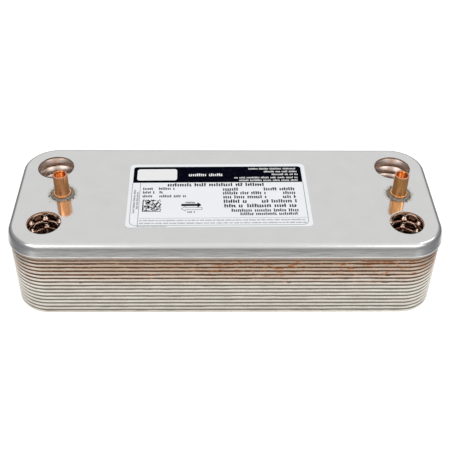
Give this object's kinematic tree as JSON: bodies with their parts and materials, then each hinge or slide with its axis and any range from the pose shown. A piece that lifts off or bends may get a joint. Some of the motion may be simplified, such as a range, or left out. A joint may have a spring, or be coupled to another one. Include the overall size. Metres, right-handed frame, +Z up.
{
  "type": "brazed plate heat exchanger",
  "caption": "Long flat-topped brazed plate heat exchanger: a stack of nested trays with four corner ports and two threaded studs on the cover.",
  "frame": {"origin": "under the middle of the plate stack, at the free edge of the back plate, which it rests on", "axes": "+X along the length, towards the stud that stands nearer its end; +Y across, from the small ports to the large ports; +Z up out of the cover, along the studs"},
  "size_m": [0.2072, 0.0782, 0.0556],
  "materials": {
    "cover_steel": "bright cold-rolled stainless steel, nearly mirror smooth",
    "plate_steel": "pressed stainless steel with a thin film of copper from the brazing",
    "braze_copper": "dull brown brazing copper",
    "stud_plating": "bright copper plating on steel",
    "weld_metal": "rough dark weld spatter",
    "label_film": "printed self-adhesive film, satin"
  },
  "bodies": {
    "root": {"cover_plate": "cover_steel", "channel_plate_01": "plate_steel", "channel_plate_02": "plate_steel", "channel_plate_03": "plate_steel", "channel_plate_04": "plate_steel", "channel_plate_05": "plate_steel", "channel_plate_06": "plate_steel", "channel_plate_07": "plate_steel", "channel_plate_08": "plate_steel", "channel_plate_09": "plate_steel", "channel_plate_10": "plate_steel", "channel_plate_11": "plate_steel", "channel_plate_12": "plate_steel", "channel_plate_13": "plate_steel", "channel_plate_14": "plate_steel", "channel_plate_15": "plate_steel", "back_plate": "plate_steel", "braze_fillet_01": "braze_copper", "braze_fillet_02": "braze_copper", "braze_fillet_03": "braze_copper", "braze_fillet_04": "braze_copper", "braze_fillet_05": "braze_copper", "braze_fillet_06": "braze_copper", "braze_fillet_07": "braze_copper", "braze_fillet_08": "braze_copper", "braze_fillet_09": "braze_copper", "braze_fillet_10": "braze_copper", "braze_fillet_11": "braze_copper", "braze_fillet_12": "braze_copper", "braze_fillet_13": "braze_copper", "braze_fillet_14": "braze_copper", "braze_fillet_15": "braze_copper", "stud_left": "stud_plating", "stud_right": "stud_plating", "weld_ring_left": "weld_metal", "weld_ring_right": "weld_metal", "rating_label": "label_film"}
  },
  "joints": []
}
